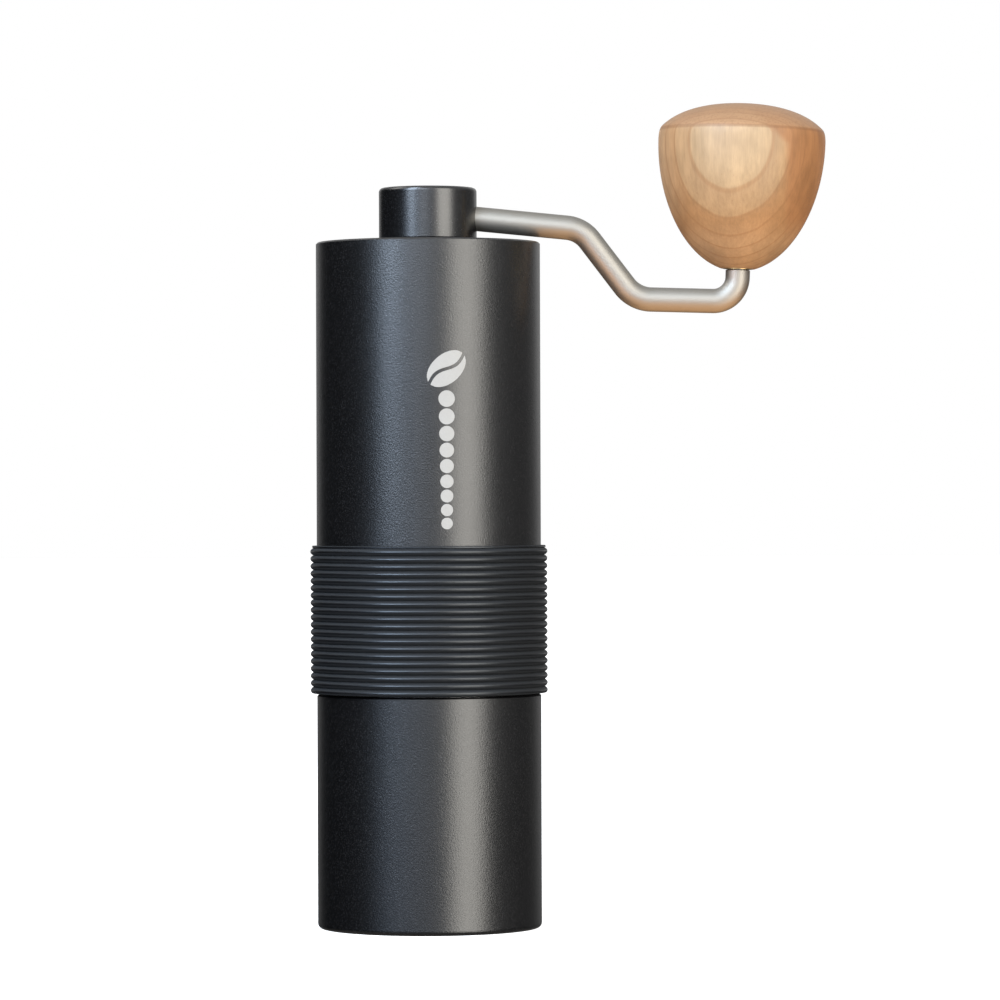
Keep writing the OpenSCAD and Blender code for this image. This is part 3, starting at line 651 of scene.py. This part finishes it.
BEAN_LENGTH = 11 * MM
BEAN_WIDTH = 7 * MM
BEAN_TILT = math.radians(-50)
BEAN_Z = MARK_TOP - 4.4 * MM
BEAN_REACH = 0.985  # share of the length that the rows cover, so that no tip comes to a point
BEAN_ROWS = 24
BEAN_COLUMNS = 6


def half_bean(side):
    """Rows across one half of a coffee bean, between its wavy crease and its outline."""
    rows = []
    for i in range(BEAN_ROWS + 1):
        t = BEAN_REACH * (2 * i / BEAN_ROWS - 1)
        crease = BEAN_WIDTH * (0.11 * math.sin(math.pi * t) + side * 0.06)
        outline = side * 0.5 * BEAN_WIDTH * math.sqrt(1 - t * t)
        if side * (outline - crease) < 0:
            outline = crease
        z = 0.5 * BEAN_LENGTH * t
        row = []
        for k in range(BEAN_COLUMNS + 1):
            a = crease + (outline - crease) * k / BEAN_COLUMNS
            turned_a = a * math.cos(BEAN_TILT) - z * math.sin(BEAN_TILT)
            turned_z = a * math.sin(BEAN_TILT) + z * math.cos(BEAN_TILT)
            row.append((turned_a, BEAN_Z + turned_z))
        rows.append(row if side > 0 else row[::-1])
    return rows


FIRST_DOT_Z = BEAN_Z - 7.2 * MM
DOT_COUNT = 9
DOT_WIDEST = 4.0 * MM
DOT_STEP = 0.15 * MM
DOT_GAP = 0.35 * MM
DOT_GRID = 12


def dot(centre_z, diameter):
    """Rows of points that fill a disc: a square grid pushed out to a circle."""
    rows = []
    for i in range(DOT_GRID + 1):
        v = 2 * i / DOT_GRID - 1
        rows.append([])
        for k in range(DOT_GRID + 1):
            u = 2 * k / DOT_GRID - 1
            a = u * math.sqrt(1 - v * v / 2) * diameter / 2
            z = v * math.sqrt(1 - u * u / 2) * diameter / 2
            rows[-1].append((a, centre_z + z))
    return rows


def grind_dots():
    """Dots from coarse to fine, one below another."""
    dots = []
    z = FIRST_DOT_Z
    for k in range(DOT_COUNT):
        diameter = DOT_WIDEST - DOT_STEP * k
        dots.append(dot(z, diameter))
        z -= diameter - DOT_STEP / 2 + DOT_GAP
    return dots


def print_shapes(name, shapes):
    """One mesh of several raised prints."""
    points, faces = [], []
    for rows in shapes:
        more, joined = print_grid(rows)
        faces += [[len(points) + i for i in face] for face in joined]
        points += more
    return sharpen(add_mesh(name, points, faces), 50)


bean = print_shapes("printed_bean", [half_bean(side) for side in (-1, 1)])
fit_piece(bean, "root", "print_white")
dots = print_shapes("printed_grind_dots", grind_dots())
fit_piece(dots, "root", "print_white")

CLICKS = 30
TICK_START = 9.6 * MM
LONG_TICK_START = 8.2 * MM
TICK_END = 11.1 * MM
TICK_HALF_WIDTH = 0.16 * MM
BOX_FACES = [(0, 1, 2, 3), (7, 6, 5, 4), (0, 4, 5, 1), (1, 5, 6, 2), (2, 6, 7, 3), (3, 7, 4, 0)]


def dial_ticks():
    """One tick for each click on the dial's lower face, every fifth one longer."""
    points, faces = [], []
    for k in range(CLICKS):
        turn = 2 * math.pi * k / CLICKS
        along = Vector((math.cos(turn), math.sin(turn), 0))
        across = TICK_HALF_WIDTH * Vector((-math.sin(turn), math.cos(turn), 0))
        start = LONG_TICK_START if k % 5 == 0 else TICK_START
        faces += [[len(points) + i for i in face] for face in BOX_FACES]
        for z in (dial_z + INK, dial_z - INK):
            for r, side in ((start, -1), (TICK_END, -1), (TICK_END, 1), (start, 1)):
                points.append(r * along + side * across + Vector((0, 0, z)))
    return add_mesh("dial_ticks", points, faces, smooth=False)


fit_piece(dial_ticks(), "dial", "print_white")


# ---------- Studio ----------

def floor_material():
    """White to the camera. What it gives back to the object is dim and warm, like a wooden table's top."""
    m = Material("studio_floor")
    ray = m.add("ShaderNodeLightPath").outputs["Is Camera Ray"]
    m.colour(m.mix(ray, (0.42, 0.33, 0.24), (0.9, 0.9, 0.9)))
    m.shader.inputs["Roughness"].default_value = 0.9
    m.feed(m.shader.inputs["Emission Color"], m.mix(ray, (0.10, 0.075, 0.05), (0.86, 0.86, 0.86)))
    m.shader.inputs["Emission Strength"].default_value = 1.0
    return m.data


FLOOR_R = 8.0
FLOOR_HOLE_R = cup_r - 2 * MM  # inside the cup's wall, so that a lowered cup doesn't fill with floor
FLOOR_SIDES = 96


def floor_ring():
    """A flat ring of quads round the hole under the cup."""
    rings = [circle(r, FLOOR_SIDES) for r in (FLOOR_HOLE_R, FLOOR_R)]
    points = [(x, y, 0) for ring in rings for x, y in ring]
    faces = []
    for k in range(FLOOR_SIDES):
        j = (k + 1) % FLOOR_SIDES
        faces.append([k, FLOOR_SIDES + k, FLOOR_SIDES + j, j])
    return add_mesh("studio_floor", points, faces, smooth=False)


floor = floor_ring()
wear(floor, floor_material())
# Gloss and light pass through it, so that the body is lit evenly down to its foot
floor.visible_glossy = False
floor.visible_shadow = False


def studio_world():
    """White to the eye. What it lights the object with depends on the bearing: dark on the left, pale in
    front and on the right, soft white overhead and dim below."""
    world = bpy.data.worlds.new("studio")
    bpy.context.scene.world = world
    world.use_nodes = True
    w = Nodes(world.node_tree, "Generated")
    x, y, z = w.split()
    bearing = w.math("ARCTAN2", x, w.math("MULTIPLY", y, -1.0))
    walls = w.bearings(bearing, [
        (-180, 0.50), (-160, 0.60), (-150, 0.34), (-139, 0.02), (-62, 0.03), (-46, (0.42, 0.54, 0.74)),
        (-30, (0.88, 1.02, 1.26)), (0, (0.98, 1.05, 1.17)), (30, 1.12), (58, 0.95), (71, 0.36),
        (120, 0.20), (139, 0.30), (152, 0.72), (180, 0.62)])
    height = w.math("MULTIPLY_ADD", z, 0.5, 0.5)
    walls = w.mix(1.0, walls, w.ramp(height, [(0.44, 0.20), (0.575, 1.16)]), "MULTIPLY")
    above = w.mix(w.ramp(height, [(0.62, 0.0), (0.90, 1.0)]), walls, (0.62, 0.62, 0.62))
    everywhere = w.mix(w.ramp(height, [(0.17, 1.0), (0.34, 0.0)]), above, (0.16, 0.15, 0.14))
    lighting = w.add("ShaderNodeBackground")
    w.join(everywhere, lighting.inputs[0])
    seen = w.add("ShaderNodeBackground")
    seen.inputs[0].default_value = (1, 1, 1, 1)
    choose = w.add("ShaderNodeMixShader")
    w.join(w.add("ShaderNodeLightPath").outputs["Is Camera Ray"], choose.inputs[0])
    w.join(lighting.outputs[0], choose.inputs[1])
    w.join(seen.outputs[0], choose.inputs[2])
    w.join(choose.outputs[0], w.add("ShaderNodeOutputWorld").inputs[0])


studio_world()


def lamp(name, location, width, height, radiance, colour):
    """A rectangular lamp that the camera doesn't see."""
    light = bpy.data.lights.new(name, "AREA")
    light.shape = "RECTANGLE"
    light.size = width
    light.size_y = height
    light.energy = radiance * math.pi * width * height
    light.color = colour
    obj = bpy.data.objects.new(name, light)
    bpy.context.scene.collection.objects.link(obj)
    obj.location = location
    obj.visible_camera = False
    return obj


AIM = Vector((0.02, 0, 0.10))


def softbox(name, azimuth, distance, low, high, width, radiance, colour):
    """A lamp aimed at the object, from a bearing in degrees from the front (-Y) towards +X."""
    turn = math.radians(azimuth)
    location = Vector((distance * math.sin(turn), -distance * math.cos(turn), (low + high) / 2))
    obj = lamp(name, location, width, high - low, radiance, colour)
    obj.rotation_euler = (AIM - location).to_track_quat("-Z", "Y").to_euler()


def table_glow(name, location, rotation, width, height, radiance, colour):
    """Warm light thrown up by a wooden table, on the steel arm and the wooden knob only."""
    obj = lamp(name, location, width, height, radiance, colour)
    obj.rotation_euler = [math.radians(turn) for turn in rotation]
    lit = bpy.data.collections.new(name + "_reaches")
    for piece in (arm, knob):
        lit.objects.link(piece)
    obj.light_linking.receiver_collection = lit


softbox("softbox_right", 40, 1.1, -0.5, 0.95, 0.64, 4.15, (1.0, 0.965, 0.89))
softbox("softbox_left", -38, 1.1, 0.25, 1.30, 0.42, 13.0, (0.68, 0.82, 1.0))
softbox("softbox_side", -95, 1.0, 0.75, 1.5, 0.6, 3.0, (1.0, 0.97, 0.92))
softbox("softbox_front", -10, 1.3, 0.30, 1.10, 0.56, 3.6, (0.82, 0.90, 1.0))
softbox("overhead", 0, 0.25, 1.2, 1.7, 0.9, 0.6, (1.0, 1.0, 1.0))
table_glow("table_glow", (0.06, -0.30, -0.35), (180, 0, 0), 1.6, 1.3, 1.5, (1.0, 0.53, 0.21))
table_glow("table_front", (-0.75, -0.80, -0.15), (75, 0, -45), 0.8, 0.7, 2.6, (1.0, 0.48, 0.16))


# ---------- Camera ----------

CAMERA_DISTANCE = 1.25
PICTURE_MIDDLE_X = 17.5 * MM
PICTURE_MIDDLE_Z = 104.8 * MM
ROLL = math.radians(0.19)  # the grinder leans a little in the photo
SENSOR_WIDTH = 36  # in millimetres, as Blender has it
FOCAL_SHARE = 5.092  # focal length over the picture's width
camera = bpy.data.cameras.new("camera")
camera.sensor_width = SENSOR_WIDTH
camera.lens = SENSOR_WIDTH * FOCAL_SHARE
camera.clip_start = 0.05
viewpoint = bpy.data.objects.new("camera", camera)
bpy.context.scene.collection.objects.link(viewpoint)
viewpoint.location = (PICTURE_MIDDLE_X, -CAMERA_DISTANCE, PICTURE_MIDDLE_Z)
viewpoint.rotation_euler = (math.radians(90), ROLL, 0)
bpy.context.scene.camera = viewpoint
bpy.context.scene.view_settings.view_transform = "Standard"
bpy.context.scene.view_settings.look = "None"
